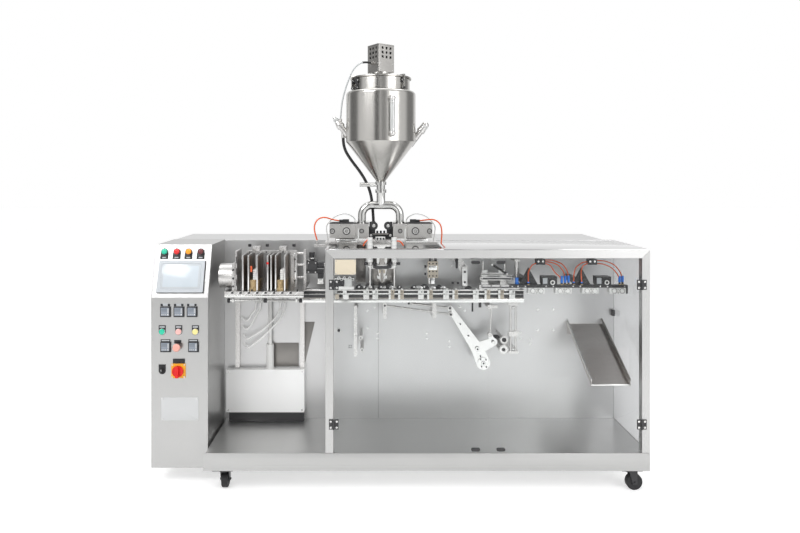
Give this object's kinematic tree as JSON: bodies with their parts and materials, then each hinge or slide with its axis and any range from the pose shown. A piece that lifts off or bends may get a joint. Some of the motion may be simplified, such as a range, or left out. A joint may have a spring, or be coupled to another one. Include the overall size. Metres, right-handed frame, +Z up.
{
  "type": "premade bag packaging machine",
  "caption": "Horizontal premade pouch filling and sealing machine on casters, with a control console, clear guard doors and a product hopper above its dosing pumps.",
  "frame": {"origin": "middle of the footprint on the floor, at the wheels' lowest points", "axes": "+X to the operator's right along the machine, +Y from the doors to the back, +Z up"},
  "size_m": [2.53, 0.88, 2.307],
  "materials": {
    "bezels": "satin",
    "black_cable": "satin",
    "black_metal": "satin",
    "black_plastic": "matte",
    "brass": "satin",
    "cabinet": "fine brushed",
    "chrome": "polished",
    "clear": "clear acrylic",
    "frame": "satin",
    "grey_hose": "gloss",
    "lamps": "gloss",
    "orange_hose": "gloss",
    "pink_plastic": "gloss",
    "red_plastic": "gloss",
    "steel": "brushed",
    "tyre": "matte",
    "white_paint": "satin",
    "white_plastic": "gloss"
  },
  "bodies": {
    "machine": {"base_pan": "steel", "rear_cabinet": "cabinet", "control_console": "cabinet", "touch_screen": "black_plastic", "pilot_lamps": "lamps", "temperature_controllers": "black_plastic", "control_bezels": "bezels", "guard_posts": "frame", "guard_rails": "frame", "guard_panels": "clear", "hinge_leaves": "black_plastic", "magazine_table": "steel", "bag_magazine": "steel", "brass_stacks": "brass", "magazine_drive": "steel", "pickup_head": "black_metal", "cover_box": "white_paint", "vacuum_manifold": "white_plastic", "gripper_track": "steel", "gripper_pads": "steel", "dosing_deck": "steel", "dosing_pumps": "steel", "air_valves": "black_metal", "product_pipe": "chrome", "hopper_shell": "steel", "hopper_fittings": "steel", "hopper_lid": "steel", "stirrer_drive": "steel", "fill_nozzles": "steel", "bag_opener": "steel", "seal_station": "steel", "cooling_bar": "black_metal", "cooling_heads": "white_plastic", "air_blocks": "black_metal", "bell_crank": "steel", "drive_links": "steel", "chute": "steel", "caster_plates": "steel", "motor_lead": "black_cable", "sensor_conduit": "black_cable", "left_hose": "orange_hose", "right_hose": "orange_hose", "hose_bracket": "steel", "pump_tubes": "grey_hose", "cooling_tubes": "orange_hose", "vacuum_tubes": "grey_hose"},
    "left_door": {"left_door": "clear", "left_door_fittings": "black_plastic"},
    "right_door": {"right_door": "clear", "right_door_fittings": "black_plastic"},
    "main_switch": {"main_switch_knob": "red_plastic"},
    "emergency_button": {"emergency_button": "pink_plastic"},
    "swivel_front_left": {"fork_front_left": "steel"},
    "wheel_front_left": {"wheel_front_left": "tyre"},
    "swivel_front_right": {"fork_front_right": "steel"},
    "wheel_front_right": {"wheel_front_right": "tyre"},
    "swivel_rear_left": {"fork_rear_left": "steel"},
    "wheel_rear_left": {"wheel_rear_left": "tyre"},
    "swivel_rear_right": {"fork_rear_right": "steel"},
    "wheel_rear_right": {"wheel_rear_right": "tyre"}
  },
  "joints": [
    {"name": "left_door_hinge", "type": "hinge", "parent": "machine", "child": "left_door", "pos_m": [-0.3165, -0.435, 0.695], "axis": [0, 0, -1], "range_deg": [0, 110]},
    {"name": "right_door_hinge", "type": "hinge", "parent": "machine", "child": "right_door", "pos_m": [1.2225, -0.435, 0.695], "axis": [0, 0, 1], "range_deg": [0, 110]},
    {"name": "main_switch_turn", "type": "hinge", "parent": "machine", "child": "main_switch", "pos_m": [-1.123, -0.349, 0.59], "axis": [0, -1, 0], "range_deg": [-90, 0]},
    {"name": "emergency_button_press", "type": "slide", "parent": "machine", "child": "emergency_button", "axis": [0, 1, 0], "range_m": [0, 0.005], "stiffness_N_per_m": 400},
    {"name": "swivel_front_left", "type": "hinge", "parent": "machine", "child": "swivel_front_left", "pos_m": [-0.876, -0.369, 0.1], "axis": [0, 0, 1], "continuous": true},
    {"name": "roll_front_left", "type": "hinge", "parent": "swivel_front_left", "child": "wheel_front_left", "pos_m": [-0.876, -0.343, 0.041], "axis": [-1, 0, 0], "continuous": true},
    {"name": "swivel_front_right", "type": "hinge", "parent": "machine", "child": "swivel_front_right", "pos_m": [1.18, -0.369, 0.1], "axis": [0, 0, 1], "continuous": true},
    {"name": "roll_front_right", "type": "hinge", "parent": "swivel_front_right", "child": "wheel_front_right", "pos_m": [1.206, -0.369, 0.041], "axis": [0, 1, 0], "continuous": true},
    {"name": "swivel_rear_left", "type": "hinge", "parent": "machine", "child": "swivel_rear_left", "pos_m": [-0.876, 0.37, 0.1], "axis": [0, 0, 1], "continuous": true},
    {"name": "roll_rear_left", "type": "hinge", "parent": "swivel_rear_left", "child": "wheel_rear_left", "pos_m": [-0.863, 0.39252, 0.041], "axis": [-0.866, 0.5, 0], "continuous": true},
    {"name": "swivel_rear_right", "type": "hinge", "parent": "machine", "child": "swivel_rear_right", "pos_m": [1.143, 0.37, 0.1], "axis": [0, 0, 1], "continuous": true},
    {"name": "roll_rear_right", "type": "hinge", "parent": "swivel_rear_right", "child": "wheel_rear_right", "pos_m": [1.13, 0.39252, 0.041], "axis": [-0.866, -0.5, 0], "continuous": true}
  ]
}
